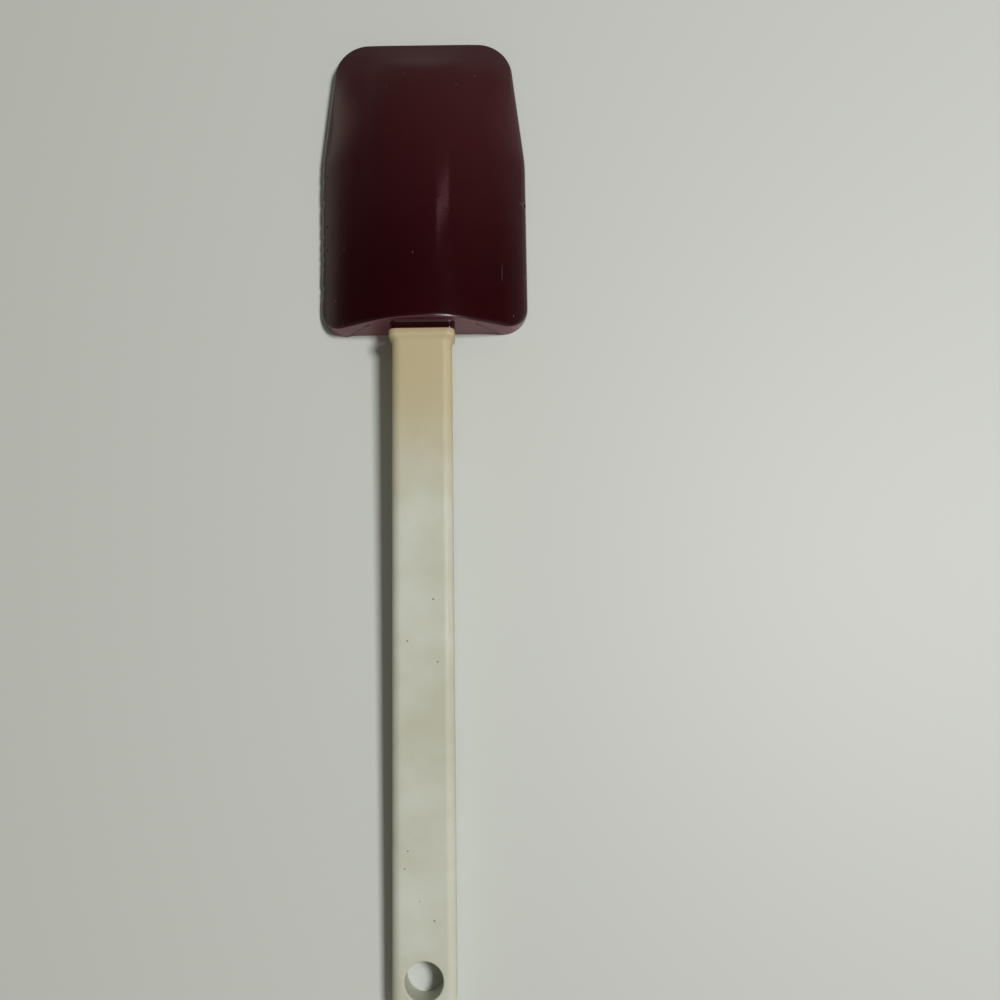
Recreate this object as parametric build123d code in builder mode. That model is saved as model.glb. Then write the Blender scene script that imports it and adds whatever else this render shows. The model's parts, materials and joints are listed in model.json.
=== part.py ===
# Spoon-shaped silicone spatula of the commercial kitchen kind, in two pieces that pull apart:
# a moulded nylon handle, whose ribbed tang fills a socket in the moulded silicone head.
#
# The tool lies as it does on a table, with the crowned back of its head upwards. It rests on
# the lower edge of the heel and on the round under the tail, so the tip stands a little clear.
# X runs across the tool, Y along it towards the tip, Z up from the table. The origin is at the
# table, below the middle of the whole tool. All sizes are in millimetres, angles in degrees.
from build123d import *
from math import acos, asin, atan2, cos, degrees, hypot, radians, sin, sqrt, tan
import os

os.makedirs("parts", exist_ok=True)

# Head seen from above
head_length = 113.5
head_width = 75.7
tip_narrowing = 5.65
taper_length = 48.0
shoulder_blend_radius = 60.0
tip_corner_radius = 13.0
heel_corner_radius = 9.5

# Head seen from the end: a rounded ridge between flat flanks, and a steeper band at the edge
crown_height = 20.5
tip_crown_height = 5.5
ridge_radius = 36.0
crease_height = 8.3
rim_height = 2.4
band_angle = 40.8
heel_draft = 3.2
heel_edge_radius = 1.0
crease_radius = 5.0
crease_share = 1.2
least_corner_share = 0.05
crown_spans = 12
angle_tolerance = 1.0

# Hollow on the underside of the head
crown_wall = 4.4
rim_land = 2.6
heel_wall = 6.0
rim_lip = 0.8
bowl_corner_radius = 9.0

# Parting line of the mould on the heel: a shallow step round the neck
step_foot_width = 56.8
step_top_width = 38.4
step_height = 11.3
step_depth = 0.5

# Neck of the head, which stands out of the heel and runs on under the crown as a boss
neck_width = 23.0
neck_bottom = 7.2
neck_top = 16.8
neck_corner_radius = 2.2
neck_length = 2.4
boss_nose_wall = 4.0
boss_nose_radius = 8.0

# Grip bar of the handle
handle_length = 228.0
grip_width = 20.8
grip_thickness = 11.0
grip_underside = 7.7
grip_edge_radius = 3.0
tail_corner_radius = 6.5
hang_hole_diameter = 12.5
hang_hole_from_tail = 12.0
hang_hole_edge = 0.5

# Collar between the grip and the tang
collar_width = 22.9
collar_height = 12.6
collar_corner_radius = 2.6
collar_thickness = 2.2
collar_taper = 2.2
collar_edge_radius = 0.6

# Tang inside the head
tang_depth = 62.0
tang_root_width = 17.0
tang_end_width = 13.0
tang_root_thickness = 5.0
tang_end_thickness = 4.0
tang_corner_radius = 1.2
tang_rib_width = 2.2
tang_rib_height = 0.6
tang_rib_spacing = 7.0

# Room between the head and the handle, and how far cuts run past what they cut
fit_gap = 0.3
overrun = 2.0

# Flanks of the crown: each is the straight line from the crease of the sides to the round ridge
shoulder_from_heel = head_length - taper_length
band_slope = tan(radians(band_angle))
crease_from_middle = head_width / 2 - (crease_height - rim_height) / band_slope
crease_over_centre = crease_height - (crown_height - ridge_radius)
crease_distance = hypot(crease_from_middle, crease_over_centre)
tangent_angle = atan2(crease_over_centre, crease_from_middle) + acos(ridge_radius / crease_distance)
flank_slope = 1 / tan(tangent_angle)

# Band: it runs in past the highest point of the crease, which is in the middle of the tip, where
# the crown, falling along a parabola, meets the slope of the band
crown_fall = crown_height - tip_crown_height
slope_gap = band_slope - 2 * crown_fall / taper_length
rim_gap = tip_crown_height - rim_height
crease_root = hypot(slope_gap, 2 * sqrt(crown_fall * rim_gap) / taper_length)
tip_crease_run = (crease_root - slope_gap) * taper_length**2 / (2 * crown_fall)
band_rise = tip_crease_run * band_slope + overrun
band_run = band_rise / band_slope
taper_turn = atan2(tip_narrowing, taper_length)

# Place of the tool on the table. The round under the tail has its centre foot_height above the
# rim of the head, and the heel's lower edge is the other foot.
grip_reach = neck_length + fit_gap + handle_length
foot_reach = grip_reach - grip_edge_radius
foot_height = grip_underside + grip_edge_radius
foot_distance = hypot(foot_height, foot_reach)
rest_angle = atan2(foot_height, foot_reach) - asin(grip_edge_radius / foot_distance)
tail_flat_top = grip_underside + grip_thickness - grip_edge_radius
tip_y = head_length * cos(rest_angle)
tail_y = grip_reach * cos(rest_angle) + tail_flat_top * sin(rest_angle)
heel_y = (tail_y - tip_y) / 2

# Plane of the head's rim, with its origin at the heel and its Y axis towards the tip
rim = Plane(
    origin=(0, heel_y, 0),
    x_dir=(1, 0, 0),
    z_dir=(0, -sin(rest_angle), cos(rest_angle)),
)
upwards = Axis(rim.origin, rim.z_dir)
forwards = Axis(rim.origin, rim.y_dir)


def across(reach):
    """Plane across the tool, reach from the heel towards the tip, looking towards the tip"""
    origin = rim.from_local_coords((0, reach, 0))
    return Plane(origin=origin, x_dir=rim.x_dir, z_dir=-rim.y_dir)


def lowest(edge):
    """Lowest of an edge's ends and middle over the plane of the rim"""
    return min(rim.to_local_coords(edge @ share).Z for share in (0, 0.5, 1))


def reach_of(edge):
    """Distance of an edge's middle from the heel towards the tip"""
    return rim.to_local_coords(edge @ 0.5).Y


def head_outline(plane, heel_reach, heel_radius, inset):
    """Outline of the head seen from above, moved inwards: parallel sides, then a taper to the tip"""
    half_width = head_width / 2 - inset
    shoulder = shoulder_from_heel - inset * tan(taper_turn / 2)
    half_tip = half_width - tip_narrowing + inset * (1 - (1 - sin(taper_turn)) / cos(taper_turn))
    tip = head_length - inset
    corner_radius = max(tip_corner_radius - inset, tip_corner_radius * least_corner_share)
    with BuildSketch(plane) as outline:
        with BuildLine():
            Polyline(
                (-half_width, heel_reach),
                (half_width, heel_reach),
                (half_width, shoulder),
                (half_tip, tip),
                (-half_tip, tip),
                (-half_width, shoulder),
                close=True,
            )
        make_face()
        fillet(outline.vertices().group_by(Axis.Y)[1], radius=shoulder_blend_radius)
        fillet(outline.vertices().group_by(Axis.Y)[-1], radius=corner_radius)
        if heel_radius > 0:
            fillet(outline.vertices().group_by(Axis.Y)[0], radius=heel_radius)
    return outline.sketch


def crown_section(reach, drop):
    """Roof-shaped section of the crown with a rounded ridge, lowered by drop"""
    fall_share = max(reach - shoulder_from_heel, 0) / taper_length
    crest = crown_height - crown_fall * fall_share**2
    height_share = crest / crown_height
    slope = flank_slope * height_share
    ridge_rise = ridge_radius * (hypot(1, flank_slope) - 1) * height_share
    ridge_height = crest + ridge_rise - drop
    half_width = head_width / 2 + overrun
    edge_height = ridge_height - half_width * slope
    base = -crown_height
    with BuildSketch(across(reach)) as section:
        with BuildLine():
            Polyline(
                (-half_width, base),
                (half_width, base),
                (half_width, edge_height),
                (0, ridge_height),
                (-half_width, edge_height),
                close=True,
            )
        make_face()
        ridge = section.vertices().sort_by(Axis.Y)[-1]
        fillet(ridge, radius=ridge_rise / (hypot(1, slope) - 1))
    return section.sketch


def crown_body(drop):
    """Everything below the crown: level from heel to shoulder, then falling to the tip"""
    loft_length = head_length + 2 * overrun
    with BuildPart() as crown:
        reaches = [loft_length * n / crown_spans - overrun for n in range(crown_spans + 1)]
        loft([crown_section(reach, drop).face() for reach in reaches])
    return crown.part


def band_body(inset, bottom):
    """Everything inside the sloping band along the sides and the tip, open at the heel"""
    with BuildPart() as band:
        extrude(head_outline(rim, -overrun, 0, inset), amount=bottom)
        foot = head_outline(rim.offset(bottom), -overrun, 0, inset)
        top = head_outline(rim.offset(bottom + band_rise), -overrun, 0, inset + band_run)
        loft([foot.face(), top.face()], ruled=True)
        extrude(top, amount=crown_height)
    return band.part


def tang_section(reach, width, thickness, gap):
    """Flat section with rounded corners and a pair of ribs on each broad face"""
    middle = (neck_bottom + neck_top) / 2
    with BuildSketch(across(reach)) as section:
        with Locations((0, middle)):
            RectangleRounded(width + 2 * gap, thickness + 2 * gap, tang_corner_radius + gap)
        with Locations((-tang_rib_spacing / 2, middle), (tang_rib_spacing / 2, middle)):
            Rectangle(tang_rib_width + 2 * gap, thickness + 2 * (tang_rib_height + gap))
    return section.sketch


# Hollow of the head: it follows the crown from below and leaves the boss round the socket
with BuildPart() as scoop:
    add(band_body(rim_land, rim_lip))
    add(crown_body(crown_wall), mode=Mode.INTERSECT)
    bowl_outline = head_outline(rim, heel_wall, bowl_corner_radius, rim_land)
    extrude(bowl_outline, amount=crown_height, mode=Mode.INTERSECT)
    boss_reach = tang_depth + fit_gap + boss_nose_wall
    with BuildSketch(rim.offset(neck_bottom)) as boss:
        with Locations((0, boss_reach / 2)):
            Rectangle(neck_width, boss_reach)
        fillet(boss.vertices().group_by(Axis.Y)[-1], radius=boss_nose_radius)
    extrude(amount=crown_height, mode=Mode.SUBTRACT)

# Head: one silicone moulding, crowned above and hollow below. The outline, with the draft of
# the heel, is cut down to the band and the crown, and the crease between those is blended.
with BuildPart() as head:
    outline = head_outline(rim, 0, heel_corner_radius, 0)
    extrude(outline, amount=crown_height + overrun, taper=heel_draft)
    add(band_body(0, rim_height), mode=Mode.INTERSECT)
    add(crown_body(0), mode=Mode.INTERSECT)
    band_faces = head.faces().filter_by(
        lambda face: abs(face.normal_at().get_angle(rim.z_dir) - band_angle) < angle_tolerance
    )
    crease = band_faces.edges().filter_by(lambda edge: lowest(edge) > rim_height * crease_share)
    fillet(crease, radius=crease_radius)
    heel_edges = head.edges().filter_by(
        lambda edge: lowest(edge) > rim_height and reach_of(edge) < heel_corner_radius
    )
    fillet(heel_edges, radius=heel_edge_radius)

    # Shallow step of the parting line, a trapezium on the drafted face of the heel
    heel_normal = -rim.y_dir * cos(radians(heel_draft)) + rim.z_dir * sin(radians(heel_draft))
    with BuildSketch(Plane(origin=rim.origin, x_dir=rim.x_dir, z_dir=heel_normal)):
        with BuildLine():
            Polyline(
                (-step_foot_width / 2, 0),
                (step_foot_width / 2, 0),
                (step_top_width / 2, step_height),
                (-step_top_width / 2, step_height),
                close=True,
            )
        make_face()
    extrude(amount=-step_depth, mode=Mode.SUBTRACT)
    add(scoop.part, mode=Mode.SUBTRACT)

    # Neck, and the socket that runs through it and the boss
    with BuildSketch(across(heel_wall)):
        with Locations((0, (neck_bottom + neck_top) / 2)):
            RectangleRounded(neck_width, neck_top - neck_bottom, neck_corner_radius)
    extrude(amount=heel_wall + neck_length)
    mouth = tang_section(-neck_length - fit_gap, tang_root_width, tang_root_thickness, fit_gap)
    end = tang_section(tang_depth + fit_gap, tang_end_width, tang_end_thickness, fit_gap)
    loft([mouth.face(), end.face()], ruled=True, mode=Mode.SUBTRACT)

head.part.label = "head"
export_step(head.part, "parts/head.step")

# Handle: one nylon moulding, with the grip, the collar and the tang in one
with BuildPart() as handle:
    collar_reach = -neck_length - fit_gap
    with BuildSketch(rim.offset(grip_underside)) as bar:
        with Locations((0, collar_reach - handle_length / 2)):
            Rectangle(grip_width, handle_length)
        fillet(bar.vertices().group_by(Axis.Y)[0], radius=tail_corner_radius)
    extrude(amount=grip_thickness)
    broad_faces = handle.faces().group_by(upwards)
    grip_edges = broad_faces[0].edges() + broad_faces[-1].edges()
    collar_edges = grip_edges.group_by(forwards)[-1]
    fillet([edge for edge in grip_edges if edge not in collar_edges], radius=grip_edge_radius)
    with BuildSketch(across(collar_reach)):
        with Locations((0, grip_underside + grip_thickness / 2)):
            RectangleRounded(collar_width, collar_height, collar_corner_radius)
    extrude(amount=collar_thickness)
    fillet(handle.faces().sort_by(forwards)[-1].edges(), radius=collar_edge_radius)
    with BuildSketch(across(collar_reach - collar_thickness)):
        with Locations((0, grip_underside + grip_thickness / 2)):
            RectangleRounded(collar_width, collar_height, collar_corner_radius)
    taper_angle = degrees(atan2((collar_width - grip_width) / 2, collar_taper))
    extrude(amount=collar_taper, taper=taper_angle)
    tang_root = tang_section(collar_reach, tang_root_width, tang_root_thickness, 0)
    tang_end = tang_section(tang_depth, tang_end_width, tang_end_thickness, 0)
    loft([tang_root.face(), tang_end.face()], ruled=True)
    with BuildSketch(rim.offset(grip_underside)):
        with Locations((0, hang_hole_from_tail - grip_reach)):
            Circle(hang_hole_diameter / 2)
    extrude(amount=grip_thickness, mode=Mode.SUBTRACT)
    chamfer(handle.edges(Select.LAST).filter_by(GeomType.CIRCLE), length=hang_hole_edge)

handle.part.label = "handle"
export_step(handle.part, "parts/handle.step")

for piece in (head, handle):
    print(piece.part.label, piece.part.is_valid, len(piece.part.solids()), round(piece.part.volume))
    print(piece.part.bounding_box())
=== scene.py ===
import json
import math

import bmesh
import bpy
import numpy as np
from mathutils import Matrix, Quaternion, Vector


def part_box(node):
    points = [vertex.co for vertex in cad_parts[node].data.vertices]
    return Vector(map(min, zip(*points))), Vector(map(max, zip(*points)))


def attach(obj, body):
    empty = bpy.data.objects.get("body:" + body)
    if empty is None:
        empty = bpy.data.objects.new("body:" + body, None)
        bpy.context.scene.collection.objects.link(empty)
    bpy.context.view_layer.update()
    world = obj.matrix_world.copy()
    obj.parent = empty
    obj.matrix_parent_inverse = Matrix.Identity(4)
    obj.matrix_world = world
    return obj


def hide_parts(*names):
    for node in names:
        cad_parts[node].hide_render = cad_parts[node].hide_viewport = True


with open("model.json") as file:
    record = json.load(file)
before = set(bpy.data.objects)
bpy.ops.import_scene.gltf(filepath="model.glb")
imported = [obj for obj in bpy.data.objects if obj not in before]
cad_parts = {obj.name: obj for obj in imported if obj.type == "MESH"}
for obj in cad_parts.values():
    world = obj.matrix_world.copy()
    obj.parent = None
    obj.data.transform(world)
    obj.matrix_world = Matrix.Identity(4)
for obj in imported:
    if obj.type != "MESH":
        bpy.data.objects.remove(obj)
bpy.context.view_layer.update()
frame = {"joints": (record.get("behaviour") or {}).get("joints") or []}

# Head: the blade of the tool, one moulding of maroon silicone rubber with a crowned back, a
# sloping band along its edge and a hollow underside. It was pressed in a mould whose parting line
# shows on the heel, and its neck and the boss behind it are stretched over the nylon tang.
millimetre = 0.001
head_length = 113.5
head_width = 75.7
tip_narrowing = 5.65
taper_length = 48.0
shoulder_radius = 60.0
tip_corner_radius = 13.0
heel_corner_radius = 9.5
heel_draft = math.radians(3.2)
heel_edge = 0.5
side_edge = 1.3
foot_edge = 0.3

crown_top = 20.47
tip_crown_top = 5.5
tip_straight = 0.78
ridge_radius = 36.0
flank_angle = math.radians(29.55)
rim_height = 2.4
band_angle = math.radians(40.8)
crease_blend = 1.6
tip_crease_blend = 3.0
crease_crisp = 20.0

shoulder = head_length - taper_length
half_width = head_width / 2
half_tip = half_width - tip_narrowing
taper_turn = math.atan2(tip_narrowing, taper_length)

# The joint slides along the tool's own axis, so it gives the angle at which the tool lies
pull_axis = frame["joints"][0]["axis"]
rest_angle = math.atan2(pull_axis[2], pull_axis[1])
heel_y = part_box("head")[1].y / millimetre - head_length * math.cos(rest_angle)


def in_frame(points):
    """Points measured in millimetres from the middle of the heel's lower edge, across, along and
    up from the rim, turned by the rest angle and moved to the heel in the frame, in metres."""
    across, along, up = points[..., 0], points[..., 1], points[..., 2]
    y = heel_y + along * math.cos(rest_angle) - up * math.sin(rest_angle)
    z = along * math.sin(rest_angle) + up * math.cos(rest_angle)
    return np.stack([across, y, z], axis=-1) * millimetre


def rounded_outline(corners, radii, side_steps, arc_steps):
    """Closed path round a polygon whose corners are arcs that touch both sides, and the outward
    normal at each point. An arc is centre + radius * normal, with the normal turning evenly, and
    each side between two arcs is divided evenly."""
    corners = np.array(corners, float)
    ahead = np.roll(corners, -1, axis=0) - corners
    ahead /= np.linalg.norm(ahead, axis=1)[:, None]
    behind = np.roll(ahead, 1, axis=0)
    across = behind[:, 0] * ahead[:, 1] - behind[:, 1] * ahead[:, 0]
    turn = np.arctan2(across, (behind * ahead).sum(axis=1))
    touch = np.array(radii) * np.tan(turn / 2)
    starts = corners - behind * touch[:, None]
    ends = corners + ahead * touch[:, None]
    points, normals = [], []
    for corner in range(len(corners)):
        angle = np.arctan2(-behind[corner, 0], behind[corner, 1])
        angle = angle + turn[corner] * np.linspace(0, 1, arc_steps[corner] + 1)
        normal = np.stack([np.cos(angle), np.sin(angle)], axis=1)
        centre = starts[corner] - normal[0] * radii[corner]
        following = starts[(corner + 1) % len(corners)]
        share = np.linspace(0, 1, side_steps[corner] + 1)[1:-1, None]
        points += [centre + normal * radii[corner], ends[corner] * (1 - share) + following * share]
        side_normal = np.array([[ahead[corner, 1], -ahead[corner, 0]]])
        normals += [normal, np.repeat(side_normal, len(share), axis=0)]
    return np.concatenate(points), np.concatenate(normals)


def inset_from_edge(x, y):
    """Distance in from the sides, the taper and the tip, as if the heel were open: to the nearest
    straight line or, in the wedge of a rounded corner, radius - distance from the centre."""
    x = np.abs(x)
    lean = np.array([math.cos(taper_turn), math.sin(taper_turn)])
    to_taper = (half_width - x) * lean[0] + (shoulder - y) * lean[1]
    inset = np.minimum(np.minimum(half_width - x, to_taper), head_length - y)
    shoulder_touch = shoulder_radius * math.tan(taper_turn / 2)
    tip_y = head_length - tip_corner_radius
    tip_x = half_width + ((shoulder - tip_y) * lean[1] - tip_corner_radius) / lean[0]
    for centre_x, centre_y, radius, low, high in (
        (half_width - shoulder_radius, shoulder - shoulder_touch, shoulder_radius, 0, taper_turn),
        (tip_x, tip_y, tip_corner_radius, taper_turn, math.pi / 2),
    ):
        bearing = np.arctan2(y - centre_y, x - centre_x)
        wedge = (bearing > low) & (bearing < high)
        inset = np.where(wedge, radius - np.hypot(x - centre_x, y - centre_y), inset)
    return inset


def crown(x, y):
    """Height of the crowned back: flat flanks that a round ridge joins, crest + rise - |x| * slope,
    and crest - radius + sqrt(radius^2 - x^2) on the ridge. It falls along a parabola, share^2 of
    the whole fall, and near the tip along the parabola's tangent."""
    fall = np.maximum(y - shoulder, 0) / taper_length
    past = np.maximum(fall - tip_straight, 0)
    fall = np.minimum(fall, tip_straight) ** 2 + 2 * tip_straight * past
    crest = crown_top - (crown_top - tip_crown_top) * fall
    share = crest / crown_top
    slope = math.tan(flank_angle) * share
    rise = ridge_radius * (1 / math.cos(flank_angle) - 1) * share
    radius = rise / (np.hypot(1, slope) - 1)
    on_ridge = np.abs(x) < radius * slope / np.hypot(1, slope)
    ridge = crest - radius + np.sqrt(np.maximum(radius**2 - x**2, 0))
    return np.where(on_ridge, ridge, crest + rise - np.abs(x) * slope)


def smooth_step(value):
    """0 below 0, 1 above 1, and 3v^2 - 2v^3 between"""
    value = np.clip(value, 0, 1)
    return value * value * (3 - 2 * value)


def lower_of(first, second, blend):
    """The lower of two heights, rounded where they meet: min - (blend - |gap|)^2 / 4 blend"""
    near = np.maximum(blend - np.abs(first - second), 0)
    return np.minimum(first, second) - near**2 / (4 * blend)


def back(x, y):
    """Height of the head's back: the lower of the crown and the band that climbs from the rim. The
    crease between them is crisp beside the heel and grows ever softer towards the tip."""
    band = rim_height + inset_from_edge(x, y) * math.tan(band_angle)
    softness = smooth_step((y - crease_crisp) / (head_length - crease_crisp))
    blend = crease_blend + (tip_crease_blend - crease_blend) * softness
    return lower_of(band, crown(x, y), blend)


def even(steps):
    """Shares of a way at even steps: 1 / steps, 2 / steps and so on up to 1"""
    return np.linspace(0, 1, steps + 1)[1:]


def bend(start, corner, end, steps):
    """Rows of a soft edge that leaves start towards corner and arrives at end: the quadratic curve
    (1-t)^2 start + 2t(1-t) corner + t^2 end, without its first row."""
    t = even(steps)[:, None, None]
    return (1 - t) ** 2 * start + 2 * t * (1 - t) * corner + t**2 * end


def straight(start, end, steps):
    """Rows at even steps from start to end: (1-t) start + t end, without the first row"""
    t = even(steps)[:, None, None]
    return start * (1 - t) + end * t


def stand(plan, height):
    """Plan points raised to their heights"""
    return np.concatenate([plan, np.broadcast_to(height, plan.shape[:-1])[..., None]], axis=-1)


# Parting line of the mould on the heel: inside a trapezium the face lies half a millimetre deeper,
# with a small torn pit in the rubber at each of its upper corners
step_foot_width = 56.8
step_top_width = 38.4
step_height = 11.3
step_depth = 0.5
step_softness = 0.35
pit_depth = 0.45
pit_radius = 0.8
step_lean = (step_foot_width - step_top_width) / 2 / step_height


def heel_face(x, z):
    """How far the heel's face lies in from its lower edge: height * tan(draft), the step's depth
    inside the trapezium, and two pits, depth * exp(-(distance / radius)^2)."""
    to_side = (step_foot_width / 2 - z * step_lean - np.abs(x)) / math.hypot(1, step_lean)
    inside = np.minimum(to_side, step_height - z)
    step = step_depth * smooth_step(inside / step_softness + 0.5)
    from_pit = np.hypot(np.abs(x) - step_top_width / 2, z - step_height)
    return z * math.tan(heel_draft) + step + pit_depth * np.exp(-((from_pit / pit_radius) ** 2))


# Outer skin, in columns round the outline and rows from the foot of the wall up and inwards. Both
# long sides have as many columns, so that the halves of the hollow meet in the middle.
heel_steps, long_steps, taper_steps, tip_steps = 162, 92, 30, 40
heel_arc_steps, shoulder_arc_steps, tip_arc_steps = 16, 8, 22
outline, outward = rounded_outline(
    [
        (-half_width, 0),
        (half_width, 0),
        (half_width, shoulder),
        (half_tip, head_length),
        (-half_tip, head_length),
        (-half_width, shoulder),
    ],
    [heel_corner_radius] * 2 + [shoulder_radius] + [tip_corner_radius] * 2 + [shoulder_radius],
    [heel_steps, long_steps, taper_steps, tip_steps, taper_steps, long_steps],
    [heel_arc_steps] * 2 + [shoulder_arc_steps] + [tip_arc_steps] * 2 + [shoulder_arc_steps],
)
heel_start = heel_arc_steps
on_heel = np.zeros(len(outline), bool)
on_heel[heel_start : heel_start + heel_steps + 1] = True


def wall(height, inwards=0.0):
    """Points of the outer wall at a height above the rim: the outline moved in by the draft, and on
    the heel by the step of the parting line. Anything else moves in by inwards."""
    depth = np.where(on_heel, heel_face(outline[:, 0], height), height * math.tan(heel_draft))
    return stand(outline - outward * (depth + inwards)[:, None], height)


# Nicks: small bites that cutlery took out of the rim, depth first and then the distance from the
# heel. Each is depth * exp(-((distance from its middle) / width)^2), on the wall of its side.
nick_width = 0.8
faces_side = 0.9
left_nicks = [(0.3, 64.2), (0.35, 58.7), (0.5, 50.1), (0.35, 42.7), (0.6, 37.2)]
left_nicks += [(0.35, 32.5), (0.5, 28.6), (0.35, 24.8), (0.6, 17.6), (0.4, 14.5)]
right_nicks = [(1.0, 48.9), (0.3, 21.0)]
bite = np.zeros(len(outline))
for side, nicks in ((-1, left_nicks), (1, right_nicks)):
    for depth, station in nicks:
        near = depth * np.exp(-(((outline[:, 1] - station) / nick_width) ** 2))
        bite += np.where(outward[:, 0] * side > faces_side, near, 0)

# The edge's height follows from its place, and its place from its height and the draft, so each is
# worked out in turn until both stand still
edge_passes = 6
edge_height = np.full(len(outline), rim_height)
for edge_pass in range(edge_passes):
    edge = outline - outward * (bite + edge_height * math.tan(heel_draft))[:, None]
    edge_height = back(edge[:, 0], edge[:, 1])
edge_size = side_edge + (heel_edge - side_edge) * smooth_step(-outward[:, 1])
edge_in = edge - outward * edge_size[:, None]
edge_end = stand(edge_in, back(edge_in[:, 0], edge_in[:, 1]))

foot_bend_steps, wall_steps, edge_bend_steps = 4, 36, 6
wall_top = edge_height - edge_size
foot_in = wall(np.zeros(len(outline)), foot_edge)
foot_corner = wall(np.zeros(len(outline)))
wall_foot = wall(np.full(len(outline), foot_edge))
wall_rows = np.stack(
    [
        wall(foot_edge + (wall_top - foot_edge) * share, bite * smooth_step(2 * share - 1))
        for share in np.linspace(0, 1, wall_steps + 1)
    ]
)

# The back's rows run from the soft edge to a spine below the ridge, close together over the crease
spine_near = 34.0
spine_far = 80.0
crease_reach = 13.0
crease_steps, flank_steps = 44, 26
spine = np.stack([np.zeros(len(outline)), np.clip(outline[:, 1], spine_near, spine_far)], axis=1)
crease_share = crease_reach / np.linalg.norm(spine - edge_in, axis=1)
close = even(crease_steps)[:, None] * crease_share
wide = crease_share + even(flank_steps)[:, None] * (1 - crease_share)
inward_share = np.concatenate([close, wide])[..., None]
back_plan = edge_in * (1 - inward_share) + spine * inward_share
skin = np.concatenate(
    [
        foot_in[None],
        bend(foot_in, foot_corner, wall_foot, foot_bend_steps),
        wall_rows[1:],
        bend(wall_rows[-1], stand(edge, edge_height), edge_end, edge_bend_steps),
        stand(back_plan, back(back_plan[..., 0], back_plan[..., 1])),
    ]
)


def grid_faces(rows, columns, closed, hole=None, start=0):
    """Four-cornered faces of a grid of points, numbered row by row from start, without those that
    the mask named hole is true for."""
    across = np.arange(columns if closed else columns - 1)
    up = np.arange(rows - 1)
    row, column = np.meshgrid(up, across, indexing="ij")
    beside = (column + 1) % columns
    corners = [row * columns + column, row * columns + beside]
    corners += [(row + 1) * columns + beside, (row + 1) * columns + column]
    faces = np.stack(corners, axis=-1) + start
    return faces.reshape(-1, 4) if hole is None else faces[~hole]


# Neck: it stands out of the heel through a window left in the wall's grid, with a soft root, and
# the socket for the tang runs from its end through to the end of the boss
neck_width = 23.0
neck_bottom = 7.2
neck_top = 16.8
neck_corner_radius = 2.2
neck_length = 2.4
neck_root = 0.4
neck_edge = 0.5
window_half = 14.0
window_sill_rows = 9
window_low_row = foot_bend_steps + window_sill_rows
window_high_row = foot_bend_steps + wall_steps
heel_x = outline[on_heel, 0]
window_first = heel_start + int(np.argmin(np.abs(heel_x + window_half)))
window_last = heel_start + int(np.argmin(np.abs(heel_x - window_half)))
window = np.zeros((len(skin) - 1, len(outline)), bool)
window[window_low_row:window_high_row, window_first:window_last] = True
window_edge = np.concatenate(
    [
        skin[window_low_row, window_first:window_last],
        skin[window_low_row:window_high_row, window_last],
        skin[window_high_row, window_last:window_first:-1],
        skin[window_high_row:window_low_row:-1, window_first],
    ]
)
neck_middle = (neck_bottom + neck_top) / 2
turned = np.arctan2(window_edge[:, 2] - neck_middle, window_edge[:, 0])
halvings = 40


def round_loop(width, thickness, radius):
    """Rounded rectangle about the socket's axis, where the rays at the turned angles meet it: each
    ray is halved again and again until hypot(max(|x| - a, 0), max(|z| - b, 0)) = radius."""
    low, high = np.zeros(len(turned)), np.full(len(turned), width)
    for halving in range(halvings):
        reach = (low + high) / 2
        x, z = np.abs(reach * np.cos(turned)), np.abs(reach * np.sin(turned))
        over_x, over_z = x - width / 2 + radius, z - thickness / 2 + radius
        outside = np.hypot(np.maximum(over_x, 0), np.maximum(over_z, 0)) > radius
        outside |= (over_x > radius) | (over_z > radius)
        low, high = np.where(outside, low, reach), np.where(outside, reach, high)
    return np.stack([low * np.cos(turned), low * np.sin(turned)], axis=1)


def neck_section(grow):
    """The neck's rounded rectangle, larger by grow all round"""
    thickness = neck_top - neck_bottom
    return round_loop(neck_width + 2 * grow, thickness + 2 * grow, neck_corner_radius + grow)


tang_depth = 62.0
tang_root_width, tang_end_width = 17.0, 13.0
tang_root_thickness, tang_end_thickness = 5.0, 4.0
tang_corner_radius = 1.2
tang_rib_width = 2.2
tang_rib_height = 0.6
tang_rib_spacing = 7.0
rib_flank = 0.3
fit_gap = 0.3


def rib_rise(x, thickness, gap):
    """How many times as thick tang or socket is on its two pairs of ribs: 1 + the rib's height /
    half thickness, where |x| is within half a rib of the rib's middle, and 1 elsewhere."""
    beside = np.abs(np.abs(x) - tang_rib_spacing / 2)
    on_rib = smooth_step((tang_rib_width / 2 + gap - beside) / rib_flank + 0.5)
    return 1 + on_rib * tang_rib_height * 2 / thickness


def across_neck(loop, reach):
    """Loop points set across the tool at a distance from the heel towards the tip"""
    reach = np.broadcast_to(reach, len(loop))
    return np.stack([loop[:, 0], reach, loop[:, 1] + neck_middle], axis=1)


def socket(reach, grow):
    """Socket loop at a distance from the heel: the tang's section there, larger by the fit's gap"""
    share = (reach + neck_length + fit_gap) / (tang_depth + neck_length + fit_gap)
    gap = fit_gap + grow
    width = tang_root_width + (tang_end_width - tang_root_width) * share
    thickness = tang_root_thickness + (tang_end_thickness - tang_root_thickness) * share + 2 * gap
    loop = round_loop(width + 2 * gap, thickness, tang_corner_radius + gap)
    loop[:, 1] *= rib_rise(loop[:, 0], thickness, gap)
    return across_neck(loop, reach)


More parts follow.
